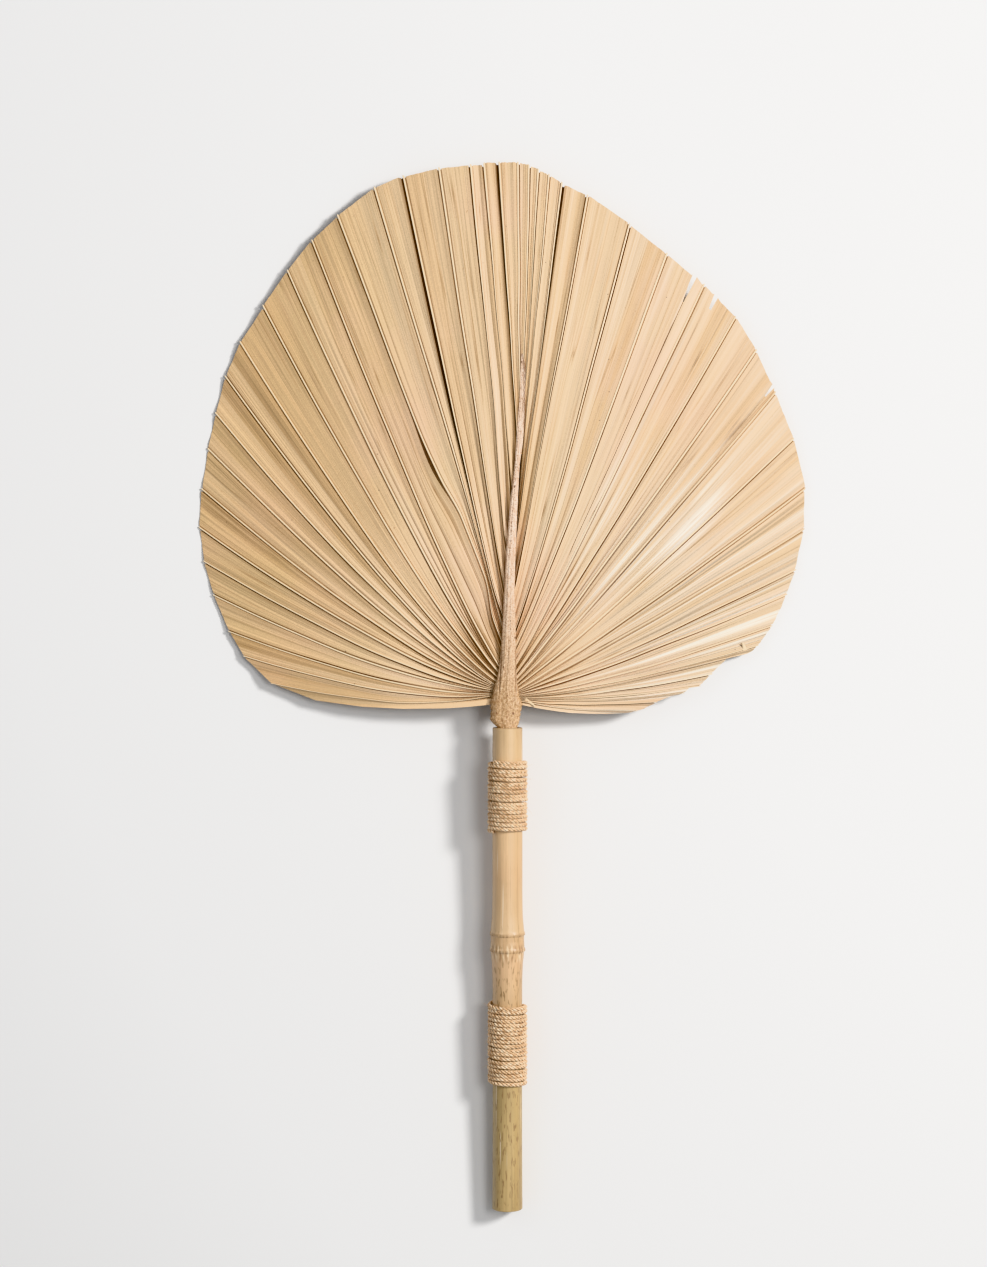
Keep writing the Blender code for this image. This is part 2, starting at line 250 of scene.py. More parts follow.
# Folds that were pulled aside as the leaf dried: fold, then share of its length and shift
pulled = {
    14: ((0, 0), (150, 1), (300, 7), (450, 7), (550, 2.5), (650, 0.5), (1000, 0)),
    15: ((0, 0), (400, 0.8), (600, 1.2), (1000, 0)),
    16: ((0, -1), (200, -3.8), (550, -4.2), (750, -2.5), (1000, 0)),
    17: ((0, -1), (400, -1.5), (800, -1), (1000, 0)),
    18: ((0, -1), (100, -3), (400, -2.2), (600, -0.7), (1000, 0)),
}


def drawn_keels():
    """The keels as they run on this leaf, with those that were pulled aside."""
    lines = fold_lines(keels, shares)
    for fold, shifts in pulled.items():
        along = np.gradient(lines[fold], axis=0)
        along /= np.linalg.norm(along, axis=-1, keepdims=True)
        across = np.stack([along[:, 1], -along[:, 0]], -1)
        lines[fold] += across * through(shifts, shares)[:, None]
    return lines


def wander(lines, size, waves):
    """Lets each line stray a little sideways between its root and the rim."""
    count = len(lines)
    along = shares[None, :]
    stray = np.zeros((count, blade_rows))
    for wave in waves:
        phase = draw.uniform(0, 2 * np.pi, (count, 1))
        strength = draw.uniform(0.3, 1.0, (count, 1)) / wave
        stray += strength * np.sin(2 * np.pi * wave * along + phase)
    across = np.gradient(lines, axis=1)
    across = np.stack([across[..., 1], -across[..., 0]], -1)
    across /= np.maximum(np.linalg.norm(across, axis=-1, keepdims=True), 1e-9)
    gate = np.sin(np.pi * along) ** 0.7 + 0.35 * along
    return lines + across * (stray * gate * size)[..., None]


keel_wander = 0.45 * MM
keel_waves = (1.0, 2.0, 3.5)
keel_lines = wander(drawn_keels(), keel_wander, keel_waves)
margin_lines = fold_lines([left_margin[-1], right_margin[0]], shares)
bounded = np.concatenate([margin_lines[:1], keel_lines, margin_lines[1:]])
valley_at = draw.uniform(0.42, 0.58, (fold_count + 1, 1)) + 0.05 * np.sin(
    2 * np.pi * (shares[None, :] * draw.uniform(0.6, 1.6, (fold_count + 1, 1))
                 + draw.uniform(0, 1, (fold_count + 1, 1))))
valley_lines = bounded[:-1] + (bounded[1:] - bounded[:-1]) * valley_at[..., None]
valley_lines[0] = margin_lines[0]
valley_lines[-1] = margin_lines[1]

# Folds whose cleft gapes: share of the length where it is widest, width, depth, spread along
# the fold, and how much painted shade darkens the panel beside it
creases = {
    14: (0.585, 2.1 * MM, 4.0 * MM, 0.055, 0.0), 16: (0.60, 1.5 * MM, 3.0 * MM, 0.34, 0.5),
    20: (0.62, 1.1 * MM, 2.4 * MM, 0.45, 0.6), 23: (0.55, 1.1 * MM, 2.6 * MM, 0.25, 0.10),
    25: (0.80, 1.0 * MM, 2.4 * MM, 0.40, 0.30),
}
# How dark the two clefts of a fold are painted, in brown and painted shade, where they aren't drawn by
# lot
doubled = {2: (0.35, 0.95), 3: (0.35, 0.95), 9: (0.9, 0.6), 11: (0.8, 0.5), 13: (0.8, 0.5),
           16: (1.0, 0.5), 20: (1.0, 0.3), 25: (0.4, 1.0), 26: (0.8, 0.9), 27: (0.7, 1.0),
           28: (0.1, 0.8)}
# Pairs are for folds on the left and on the right of the costa
cleft_darkness = (((0.75, 1.0), (0.05, 0.55)), ((0.0, 0.4), (0.6, 1.0)))
# How pale the ribs are painted, partly their own colour and partly a painted highlight where the keels
# catch the light
rib_paleness = ((0.8, 1.0), (0.45, 1.0))
relief_share = (0.028, 0.046)
# Painted shade in the valleys and the clefts near the root, left and right of the costa
valley_at_root = (0.8, 0.5)
cleft_at_root = (1.0, 0.85)
edge_reach = 1.6 * MM
edge_share = 0.6
cleft_depth = 0.6 * MM
rib_height = 0.5 * MM
relief_base = 0.25 * MM
relief_varied = (0.55, 1.35)
relief_at_root = 1.5 * MM
root_reach = 0.24
root_cleft_share = 0.30
root_cleft_depth = 0.6 * MM
pleat_depth = 0.7 * MM
pleat_reach = (0.38, 0.75)
pleat_above = 1.6 * MM
pleat_half = 0.6 * MM
pleat_shoulder = 0.35
pleated_folds = (*range(10, 19), *range(24, 33))
panel_steps = (0.0, 0.2, 0.45, 0.73)
pleat_step = 2
blade_thickness = 0.6 * MM
# Shares of the edge, outward from the keel: the side of the rib, the floor of the cleft and its lip
rib_side, floor_from, floor_to, lip = 0.34, 0.44, 0.92, 1.1
left_keels = np.sum(keels < 0)
near_root = np.exp(-(shares / root_reach) ** 2)
bare = np.zeros(blade_rows)


def cleft_beside(fold, side, half, edge, dark):
    """The cleft on one side of a rib, row by row: its width, depth and darkness (brown and painted
    shade), how far it gapes, and how much painted shade darkens the panel beside a gaping one."""
    main_side = 0 if fold < left_keels else 1
    wide, gape, brown_and_shade = bare, bare, 0.0
    deep = cleft_depth * dark * (0.35 + edge / edge_reach)
    if fold in creases and side == main_side:
        at, width, depth, spread, brown_and_shade = creases[fold]
        gape = np.exp(-((shares - at) / spread) ** 2)
        wide = np.minimum(width * gape, 0.5 * half)
        deep = deep + depth * gape
    fade = draw.uniform(0.5, 1.8) * shares + draw.uniform(0, 1)
    darkness = dark * np.clip(0.85 + 0.35 * np.sin(2 * np.pi * fade), 0.35, 1)
    at_root = cleft_at_root[main_side] * (1 if side == main_side else 0.3)
    at_root *= 0.78 + 0.22 * math.sin(2.4 * fold)
    darkness = np.maximum(darkness, near_root * at_root)
    if side == main_side:
        wide = wide + root_cleft_share * half * near_root
        deep = deep + root_cleft_depth * near_root
    wide = np.minimum(wide, 0.96 * half - lip * edge)
    return wide, deep, darkness, gape, brown_and_shade


def panel_columns(fold, half, relief, reach_share, gape, brown_and_shade):
    """The flat between a valley and the cleft, with a pleat along the middle of some."""
    pleated = np.exp(-(shares / draw.uniform(*pleat_reach)) ** 4) * draw.uniform(0.6, 1.0)
    pleated = pleated * np.clip((half - pleat_above) / (1 * MM), 0, 1)
    sideways = [(step, 0) for step in panel_steps]
    if fold in pleated_folds:
        sideways[pleat_step:pleat_step + 1] = [(panel_steps[pleat_step], shift) for shift in (-1, 0, 1)]
    sag = draw.uniform(0.7, 1.4)
    lean = draw.uniform(-0.35, 0.35)
    # Painted shade darkens the valleys near the root, the middle of each pleat and the panel beside a
    # gaping cleft
    valley_dark = draw.uniform(0.5, 1.0) * valley_at_root[0 if fold < left_keels else 1] * near_root
    made = []
    for step, shift in sideways:
        share = step * reach_share + shift * np.minimum(pleat_half / half, 0.2 * reach_share)
        bowed = 0.5 - 0.5 * math.cos(math.pi * step ** sag)
        height = relief * (bowed - 0.5 + lean * math.sin(math.pi * step))
        dark_here = brown_and_shade * gape * step ** 2
        if step == 0:
            dark_here = dark_here + valley_dark
        elif step == panel_steps[1]:
            dark_here = dark_here + 0.55 * valley_dark
        if fold in pleated_folds and step == panel_steps[pleat_step]:
            dark_here = dark_here + (1.0 if shift == 0 else 0.1) * pleated
            height = height + (pleat_shoulder * abs(shift) - 1) * pleat_depth * pleated
        made.append((share, height, dark_here, 0.42 * step, 0.0))
    return made


def fold_columns(fold):
    """The columns over one keel, valley to valley: places, heights, darkness (brown and painted
    shade), place in the fold and paleness (the ribs' own colour and a painted highlight)."""
    keel = keel_lines[fold]
    hand = 0 if fold < left_keels else 1
    halves = [np.linalg.norm(keel - valley_lines[fold + k], axis=-1) for k in (0, 1)]
    relief = relief_share[hand] * (halves[0] + halves[1]) + relief_base
    relief = relief * draw.uniform(*relief_varied)
    relief = relief + relief_at_root * near_root * np.clip(halves[0] / (1.5 * MM), 0, 1)
    if fold in doubled:
        darkness = doubled[fold]
    else:
        darkness = [draw.uniform(*limits) for limits in cleft_darkness[hand]]
    rib_pale = draw.uniform(*rib_paleness[hand]) * (1 - 0.45 * near_root)
    top = 0.5 * relief
    made = []
    for side in (0, 1):
        half = halves[side]
        valley = valley_lines[fold + side]
        edge = np.minimum(edge_reach, edge_share * half)
        wide, deep, dark, gape, brown_and_shade = cleft_beside(fold, side, half, edge, darkness[side])
        rib = rib_height * (0.4 + 0.6 * edge / edge_reach)
        inner_edge = 1 - (lip * edge + wide) / half
        rows = panel_columns(fold, half, relief, inner_edge, gape, brown_and_shade)
        rows += [
            (inner_edge, top, 0.12 * dark + brown_and_shade, 0.44, 0.0),
            (1 - (floor_to * edge + wide) / half, top - deep, dark, 0.46, 0.0),
            (1 - floor_from * edge / half, top - deep, dark, 0.47, 0.0),
            (1 - rib_side * edge / half, top + 0.7 * rib, bare, 0.48, 0.9),
        ]
        columns_here = [
            (valley + (keel - valley) * share[:, None], height, dark_here,
             fold + (place if side == 0 else 1 - place), pale * rib_pale)
            for share, height, dark_here, place, pale in rows
        ]
        if side == 0:
            made += columns_here
            made.append((keel, top + rib, bare, fold + 0.5, rib_pale))
        else:
            last = columns_here[1:] if fold < fold_count - 1 else columns_here
            made += last[::-1]
    return made


columns = [column for fold in range(fold_count) for column in fold_columns(fold)]
margin_sunk = 0.3 * MM
margin_height = np.full(blade_rows, -margin_sunk)
for turn in reversed(left_margin[:-1]):
    columns.insert(0, (fold_lines([turn], shares)[0], margin_height, bare, -0.2, bare))
for turn in right_margin[1:]:
    columns.append((fold_lines([turn], shares)[0], margin_height, bare, fold_count + 0.2, bare))
places, heights, shade, across, pale = (np.stack(rows) for rows in zip(*columns))
column_count = len(columns)

# The rim was cut with shears, fold by fold, and is torn low on the right. At the top some folds
# were cut shorter than others
top_folds, top_steps = slice(18, 24), (1.6, 1.8, 1.9, 0.0, 0.1, 0.5)
rim_step = 1.2 * MM
rim_slant = 1.0 * MM
torn_from = 38
torn_step = 1.1 * MM
tear_power = 6
ragged_by = (0.35 * MM, 1.0 * MM)
cleft_notch = 1.8 * MM
rib_proud = 0.9 * MM
torn_count = fold_count + 2 - torn_from
steps = draw.uniform(0, rim_step, fold_count + 3)
slants = draw.uniform(-rim_slant, rim_slant, fold_count + 3)
steps[top_folds] = np.array(top_steps) * MM
steps[torn_from + 1:] = draw.uniform(0, torn_step, torn_count)
slants[torn_from + 1:] = draw.uniform(0.3, 1.0, torn_count) * torn_step

# The tears follow the line of the rim between the keels too
outward = places[:, -1] - np.array([0, rim_centre])
radius = np.linalg.norm(outward, axis=-1)
over = radius - rim_distance(np.degrees(np.arctan2(outward[:, 0], outward[:, 1])))
over = np.where(across > torn_from - 1, over, 0) / radius
places = places - over[:, None, None] * outward[:, None] * (shares ** tear_power)[None, :, None]

lengths = np.cumsum(np.linalg.norm(np.diff(places, axis=1), axis=-1), axis=1)
lengths = np.concatenate([np.zeros((column_count, 1)), lengths], axis=1)
whole = np.clip(np.floor(across + 0.5).astype(int) + 1, 0, fold_count + 2)
within = across + 0.5 - np.floor(across + 0.5)
cut = steps[whole] + slants[whole] * (within - 0.5)
cut = cut + cleft_notch * np.clip(shade[:, -1], 0, 1)
cut = cut + draw.uniform(0, 1, column_count) * np.where(whole > torn_from, ragged_by[1], ragged_by[0])
cut = np.maximum(cut - rib_proud * pale[:, -1], 0)
for c in range(column_count):
    wanted = lengths[c] * (1 - cut[c] / lengths[c, -1])
    for axis in (0, 1):
        places[c, :, axis] = np.interp(wanted, lengths[c], places[c, :, axis])

# Splits that run in from the rim between two keels: fold on their left, place between the
# keels, share of the length where they start, width at the rim, share where they fade out,
# how far one edge lies over the other, and how brown the edge has turned
splits = (
    (28, 0.74, 0.955, 3.9 * MM, 0.42, 0.3 * MM, 0.8), (29, 0.38, 0.965, 3.6 * MM, 0.94, 0, 0),
    (31, 0.87, 0.972, 2.6 * MM, 0.84, 0.15 * MM, 0.45),
)
slit_half = 0.2 * MM
fade_span = 0.06
brown_until, brown_span = 0.02, 0.03
gap_faces = set()
for fold, between, start, wide, fades, lift, brown_and_shade in splits:
    aside = keel_lines[fold + 1] - keel_lines[fold]
    line = keel_lines[fold] + aside * between
    aside /= np.linalg.norm(aside, axis=-1, keepdims=True)
    outer = shares > start
    near = [c for c in range(column_count) if fold + 0.4 < across[c] < fold + 1.6]
    left = max(c for c in near if np.mean(np.sum((places[c] - line)[outer] * aside[outer], axis=-1)) < 0)
    weight = np.clip((shares - fades) / fade_span, 0, 1)
    weight = weight * weight * (3 - 2 * weight)
    opened = np.clip((shares - start) / (1 - start), 0, 1) ** 0.8
    for c, way in ((left, -1), (left + 1, 1)):
        aim = line + aside * (way * (slit_half + 0.5 * wide * opened))[:, None]
        places[c] = places[c] + (aim - places[c]) * weight[:, None]
    heights[left] -= lift * weight
    heights[left + 1] += lift * weight
    closed = np.clip((start - brown_until - shares) / brown_span, 0, 1)
    shade[left] = np.maximum(shade[left], brown_and_shade * weight * closed)
    gap_faces.update((left, row) for row in range(blade_rows - 1) if shares[row] >= start)

# The dry blade sways a little, and its underside stays just above the table
sway_height = 0.5 * MM
least_height = blade_thickness + 0.1 * MM
sway = sway_height * np.sin(places[..., 0] * 31 + 1.0) * np.sin(places[..., 1] * 23 + 2.0)
ground = leaf_height(places[..., 0], places[..., 1]) + heights
ground = np.maximum(ground + sway, least_height)


def as_object(bm, name):
    """An object made of a bmesh, at the origin."""
    mesh = bpy.data.meshes.new(name)
    bm.to_mesh(mesh)
    bm.free()
    made = bpy.data.objects.new(name, mesh)
    bpy.context.scene.collection.objects.link(made)
    return made


def solid_sheet(name, places, ground, thickness, skip, uv, marks):
    """A closed sheet over a grid of places, with its lower face straight below the upper."""
    count, rows = ground.shape
    bm = bmesh.new()
    uv_layer = bm.loops.layers.uv.new("fibres")
    layers = {key: bm.verts.layers.float.new(key) for key in marks}
    top = []
    for c in range(count):
        line = []
        for r in range(rows):
            vert = bm.verts.new((places[c, r, 0], places[c, r, 1], ground[c, r]))
            for key, layer in layers.items():
                vert[layer] = float(marks[key][c, r])
            line.append(vert)
        top.append(line)
    for c in range(count - 1):
        for r in range(rows - 1):
            if (c, r) in skip:
                continue
            corners = ((c, r), (c + 1, r), (c + 1, r + 1), (c, r + 1))
            face = bm.faces.new([top[a][b] for a, b in corners])
            for loop, (a, b) in zip(face.loops, corners):
                loop[uv_layer].uv = (uv[0][a], uv[1][a, b])
    bmesh.ops.triangulate(bm, faces=bm.faces, quad_method="FIXED")
    lowered = bmesh.ops.extrude_face_region(bm, geom=bm.faces[:])
    lower = [part for part in lowered["geom"] if isinstance(part, bmesh.types.BMVert)]
    bmesh.ops.translate(bm, verts=lower, vec=(0, 0, -thickness))
    bmesh.ops.recalc_face_normals(bm, faces=bm.faces)
    bmesh.ops.translate(bm, verts=bm.verts, vec=(fan_place[0], fan_place[1], 0))
    return as_object(bm, name)


fold_span = 28 * MM
blade_crisp_from = math.radians(28)
blade = solid_sheet(
    "leaf_blade", places, ground, blade_thickness, gap_faces, (across * fold_span, lengths),
    {"crease": shade, "fold": np.repeat(across[:, None], blade_rows, 1), "rib": pale},
)
blade.data.shade_smooth()
blade.data.set_sharp_from_angle(angle=blade_crisp_from)


def node(tree, kind, **values):
    """A new node; each value is one of its settings, or goes to its socket of that name."""
    made = tree.nodes.new(kind)
    for key, value in values.items():
        if hasattr(made, key):
            setattr(made, key, value)
        else:
            give(made.inputs[key.replace("_", " ")], value)
    return made


def attribute(tree, name):
    return node(tree, "ShaderNodeAttribute", attribute_name=name).outputs["Fac"]


def ramp(source, *stops):
    """Colours through stops; each is a position with a colour, or with the brightness of a grey."""
    made = node(source.id_data, "ShaderNodeValToRGB", Fac=source)
    elements = made.color_ramp.elements
    elements.remove(elements[-1])
    for k, (position, colour) in enumerate(stops):
        element = elements.new(position) if k else elements[0]
        element.position = position
        element.color = (*colour, 1) if isinstance(colour, tuple) else (colour, colour, colour, 1)
    return made.outputs["Color"]


def painted(base, share, colour, kind="MIX"):
    """A base painted over with a colour, by a share."""
    made = node(base.id_data, "ShaderNodeMix", data_type="RGBA", blend_type=kind)
    for index, value in ((0, share), (6, base), (7, colour)):
        give(made.inputs[index], value)
    return made.outputs[2]


def tinted(base, share, colour):
    """A base multiplied by a colour, by a share."""
    return painted(base, share, colour, "MULTIPLY")


def toned(base, source, *stops):
    """A base multiplied by a ramp."""
    return tinted(base, 1.0, ramp(source, *stops))


def maths(operation, first, second=0.0, clamp=False):
    made = node(first.id_data, "ShaderNodeMath", operation=operation, use_clamp=clamp)
    give(made.inputs[0], first)
    give(made.inputs[1], second)
    return made.outputs[0]


def times(first, second, clamp=False):
    return maths("MULTIPLY", first, second, clamp)


def stretched(source, scale):
    """The source coordinates with each axis multiplied."""
    return node(source.id_data, "ShaderNodeMapping", Scale=scale, Vector=source).outputs["Vector"]


def noise(vector, scale, detail, rough):
    return node(vector.id_data, "ShaderNodeTexNoise", Scale=scale, Detail=detail, Roughness=rough,
                Vector=vector).outputs["Fac"]


def strands(fibres, across, along, detail, rough):
    """Noise drawn out along the fibres."""
    return noise(stretched(fibres, (across, along, 1)), 1.0, detail, rough)


def fading(value, start, end, low=0.0, way="SMOOTHSTEP"):
    """A number that goes from low, where the value is start, to 1, where it is end."""
    return node(value.id_data, "ShaderNodeMapRange", interpolation_type=way, From_Min=start,
                From_Max=end, To_Min=low, Value=value).outputs["Result"]


def split_vector(vector):
    """The X and Y of a vector."""
    made = node(vector.id_data, "ShaderNodeSeparateXYZ", Vector=vector)
    return made.outputs["X"], made.outputs["Y"]


def bumped(height, distance, strength, after=None):
    made = node(height.id_data, "ShaderNodeBump", Distance=distance, Strength=strength, Height=height)
    if after:
        give(made.inputs["Normal"], after)
    return made.outputs["Normal"]


def spots(vector, scale, inner, outer, varied):
    """Round specks: white inside, black outside, each with its own size."""
    cells = node(vector.id_data, "ShaderNodeTexVoronoi", voronoi_dimensions="2D", Scale=scale,
                 Randomness=1.0, Vector=vector)
    size = ramp(cells.outputs["Color"], (0.0, 0.0), (1.0, varied))
    return ramp(maths("ADD", cells.outputs["Distance"], size), (inner, 1), (outer, 0))


# Middle, turn and size of a long painted highlight low on the right
highlight_patch = (140 * MM, 114 * MM, 0)
highlight_patch_turn = math.radians(48)
highlight_patch_size = (52 * MM, 11 * MM, 1)
# Middle and squash of the brown painted round the roots, partly painted shade
root_brown_place = (-15 * MM, 26 * MM)
root_brown_squash = 0.62
blade_tans = ((0.0, (0.64, 0.44, 0.25)), (0.4, (0.70, 0.50, 0.30)), (0.7, (0.73, 0.54, 0.34)),
              (1.0, (0.75, 0.545, 0.36)))


def leaf_material(name):
    made, tree, shader = surface(name)
    fibres = node(tree, "ShaderNodeUVMap", uv_map="fibres").outputs["UV"]
    spot = node(tree, "ShaderNodeTexCoord").outputs["Object"]
    crease, fold, rib = [attribute(tree, mark) for mark in ("crease", "fold", "rib")]
    sideways, upward = split_vector(spot)

    # Each half of a fold has its own tone, and tan drifts to olive and to rose in patches
    halves = maths("FLOOR", times(fold, 2.0))
    tone = node(tree, "ShaderNodeTexWhiteNoise", noise_dimensions="1D", W=halves)
    panel = ramp(tone.outputs["Value"], *blade_tans)
    olive = ramp(noise(spot, 9.0, 3.0, 0.55), (0.52, 0), (0.75, 0.30))
    panel = painted(panel, olive, (0.62, 0.49, 0.27))
    rose = ramp(noise(spot, 14.0, 3.0, 0.5), (0.50, 0), (0.72, 0.6))
    panel = painted(panel, rose, (0.76, 0.52, 0.35))

    # The far left is darkened with painted shade, and the lower right is painted paler, partly
    # bleached and partly painted sheen
    left_shade = fading(sideways, -30 * MM, -190 * MM)
    panel = tinted(panel, left_shade, (0.92, 0.87, 0.75))
    bleach_and_sheen = times(fading(sideways, 5 * MM, 110 * MM), fading(upward, 210 * MM, 80 * MM, 0.15))
    panel = painted(panel, times(bleach_and_sheen, 0.38), (0.695, 0.555, 0.41))

    # High on the right it is painted a little darker as painted shade, and beside the costa paler
    high = fading(upward, 80 * MM, 180 * MM)
    upper_right_shade = times(high, fading(sideways, 40 * MM, 130 * MM))
    panel = tinted(panel, upper_right_shade, (0.93, 0.90, 0.875))
    inner = fading(maths("ABSOLUTE", sideways), 105 * MM, 55 * MM)
    paler = times(inner, ramp(high, (0.0, 1.0), (1.0, 0.0)))
    panel = tinted(panel, paler, (1.16, 1.18, 1.24))

    # Painted sheen in pale streaks and fine lines on the bleached side, and one long patch of
    # painted highlight that is almost white
    sheen_streaks = ramp(strands(fibres, 170, 2.0, 3.0, 0.55), (0.53, 0), (0.63, 0.85))
    panel = painted(panel, times(sheen_streaks, bleach_and_sheen), (0.97, 0.91, 0.80))
    patch = node(tree, "ShaderNodeMapping", vector_type="TEXTURE", Location=highlight_patch,
                 Rotation=(0, 0, highlight_patch_turn), Scale=highlight_patch_size,
                 Vector=stretched(spot, (1, 1, 0)))
    reached = node(tree, "ShaderNodeVectorMath", operation="LENGTH")
    give(reached.inputs[0], patch.outputs["Vector"])
    highlight = ramp(reached.outputs["Value"], (0.15, 0.8), (1.0, 0.0))
    highlight_fibres = ramp(strands(fibres, 280, 5.0, 3.0, 0.6), (0.36, 0.35), (0.55, 1.0))
    panel = painted(panel, times(highlight, highlight_fibres), (1.0, 0.95, 0.87))
    lined = ramp(strands(fibres, 330, 2.2, 3.0, 0.6), (0.38, 0.62), (0.5, 1.0))
    panel = tinted(panel, bleach_and_sheen, lined)

    # Round the roots on the left the blade is painted brown, partly its own tone and partly
    # painted shade in the crowded clefts
    near = node(tree, "ShaderNodeVectorMath", operation="DISTANCE")
    give(near.inputs[0], stretched(spot, (1, root_brown_squash, 0)))
    give(near.inputs[1], (root_brown_place[0], root_brown_squash * root_brown_place[1], 0))
    root_brown_and_shade = fading(near.outputs["Value"], 26 * MM, 4 * MM)
    root_brown_fibres = ramp(strands(fibres, 240, 3.0, 3.0, 0.6), (0.36, 0.9), (0.62, 0.15))
    panel = painted(panel, times(root_brown_and_shade, root_brown_fibres), (0.42, 0.24, 0.10))

    # Fibres run along the folds, some of them tanned, and here and there a vein stands dark
    broad = strands(fibres, 110, 1.6, 2.0, 0.5)
    coarse = strands(fibres, 420, 3.0, 2.0, 0.6)
    fine = strands(fibres, 1900, 9.0, 2.0, 0.6)
    panel = toned(panel, broad, (0.32, 0.90), (0.5, 0.98), (0.68, 1.05))
    panel = toned(panel, coarse, (0.30, 0.76), (0.5, 1.0), (0.72, 1.16))
    tanned = ramp(strands(fibres, 300, 7.0, 3.0, 0.6), (0.34, 0.6), (0.44, 0))
    panel = painted(panel, tanned, (0.56, 0.36, 0.19))
    veins = strands(fibres, 190, 2.4, 1.0, 0.4)
    veins = ramp(veins, (0.484, 0), (0.5, 0.7), (0.516, 0))
    panel = painted(panel, veins, (0.33, 0.19, 0.08))
    panel = toned(panel, noise(spot, 1500.0, 2.0, 0.6), (0.3, 0.86), (0.7, 1.12))
    panel = toned(panel, fine, (0.28, 0.74), (0.5, 1.0), (0.75, 1.14))

    # Small brown flecks, and a few dark dots
    flecks = ramp(strands(fibres, 900, 260, 1.0, 0.5), (0.73, 0), (0.79, 0.6))
    panel = painted(panel, flecks, (0.36, 0.20, 0.09))
    dots = spots(spot, 42.0, 0.018, 0.034, 0.075)
    panel = painted(panel, times(dots, 0.85), (0.10, 0.05, 0.03))

    # The ribs are painted pale, partly their own colour and partly a painted highlight where the keels
    # catch the light; the clefts are painted brown and dull, partly their own brown and partly painted
    # shade
    panel = painted(panel, times(rib, 0.88, True), (0.93, 0.78, 0.55))
    cleft = times(crease, 1.0, True)
    panel = painted(panel, cleft, (0.135, 0.044, 0.007))
    give(shader["Base Color"], panel)
    gloss = ramp(coarse, (0.3, 0.52), (0.7, 0.38))
    gloss = painted(gloss, times(bleach_and_sheen, 0.8), (0.27, 0.27, 0.27))
    gloss = painted(gloss, crease, (0.95, 0.95, 0.95))
    give(shader["Roughness"], gloss)
    give(shader["Specular IOR Level"], ramp(crease, (0.0, 0.5), (0.7, 0.0)))
    normal = bumped(broad, 1.2 * MM, 0.45)
    normal = bumped(coarse, 0.35 * MM, 0.6, normal)
    normal = bumped(fine, 0.12 * MM, 0.6, normal)
    give(shader["Normal"], normal)
    return made


dried_blade = leaf_material("dried blade")
blade.data.materials.append(dried_blade)
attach(blade, "root")
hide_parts("palm_leaf")

# Shreds torn up from the blade.
# Two bits of the same leaf: one stands beside the stalk where the lowest fold tore, the other is
# a curl on the torn rim. Each still hangs on by its root.

# Place of the root across and up, heading in degrees, length, width and rise
shreds = {
    "shred_at_stalk": (13.0 * MM, 22.5 * MM, 128, 9.5 * MM, 3.2 * MM, 1.2 * MM),
    "shred_on_rim": (176.5 * MM, 58.0 * MM, -20, 6.0 * MM, 4.2 * MM, 1.5 * MM),
}
shred_thickness = 0.4 * MM
shred_narrowing = 0.75
shred_pale = 0.75
shred_tone = 7
shred_steps = np.linspace(0, 1, 7)
shred_lanes = np.linspace(-0.5, 0.5, 5)
for name, (start_x, start_y, turn, length, width, rise) in shreds.items():
    ahead = np.array([math.sin(math.radians(turn)), math.cos(math.radians(turn))])
    beside = np.array([ahead[1], -ahead[0]])
    widths = width * (1 - shred_narrowing * shred_steps)
    shred_places = (np.array([start_x, start_y]) + shred_steps[None, :, None] * length * ahead
                    + (shred_lanes[:, None] * widths[None, :])[..., None] * beside)
    curl = 0.6 + 1.2 * shred_steps[None, :] ** 2 - 2.0 * shred_lanes[:, None] ** 2
    shred_ground = leaf_height(shred_places[..., 0], shred_places[..., 1]) + rise * curl
    marks = {"crease": 0.0, "fold": shred_tone, "rib": shred_pale}
    shred = solid_sheet(
        name, shred_places, shred_ground, shred_thickness, set(),
        (shred_lanes * width, np.repeat(shred_steps[None, :] * length, len(shred_lanes), 0)),
        {key: np.full(curl.shape, value) for key, value in marks.items()},
    )
    shred.data.shade_smooth()
    shred.data.materials.append(dried_blade)
    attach(shred, "root")
    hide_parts("palm_leaf")

# The costa and the petiole.
# The stalk of the leaf, woody and speckled. It comes out of the handle's bore, widens into torn
# wings where the lowest folds spring from it, and runs up the blade to a thin tip.

# Height up the leaf, then the left and the right edge, in millimetres
stalk_edges = (
    (-57, -6.4, 6.4), (-50, -7.0, 7.0), (0, -7.0, 7.2), (2.2, -8.2, 7.4), (5, -11.4, 8.6),
    (7.8, -12.9, 9.0), (12.7, -12.3, 9.8), (18.7, -12.7, 10.9), (20.5, -12.4, 10.4),
    (24, -11.6, 9.0), (30, -10.3, 7.8), (35, -8.7, 7.0), (42, -7.0, 6.6), (50, -5.6, 6.3),
    (75, -3.9, 6.0), (105, -2.4, 5.3), (128, -1.1, 5.9), (164, 1.7, 7.4), (194, 5.0, 9.0),
    (211, 6.3, 11.2), (230, 7.6, 12.6), (246, 8.9, 13.1), (262, 9.4, 13.3), (276, 10.2, 11.8),
)
stalk_core = ((-57, 6.4), (0, 7.1), (12, 6.9), (21, 6.4), (36, 6.0), (50, 5.4), (75, 5.1),
              (105, 4.5), (164, 3.8), (194, 3.0), (211, 1.9), (230, 1.2), (262, 0.9),
              (276, 0.5))
stalk_flatness = 0.8
stalk_lift = 1.5 * MM
stalk_sunk = 1.8 * MM
stalk_roundness = 0.75
stalk_ragged = 0.3 * MM
wings_at, wings_half = 16 * MM, 13 * MM
stalk_rings = 420
stalk_sides = 96
stalk_ridges = (0.16 * MM, 0.10 * MM)
seam_at, seam_half = 42 * MM, 16 * MM
seam_out = 0.98
seam_depth = 0.9 * MM
ups = np.linspace(-57 * MM, 276 * MM, stalk_rings)


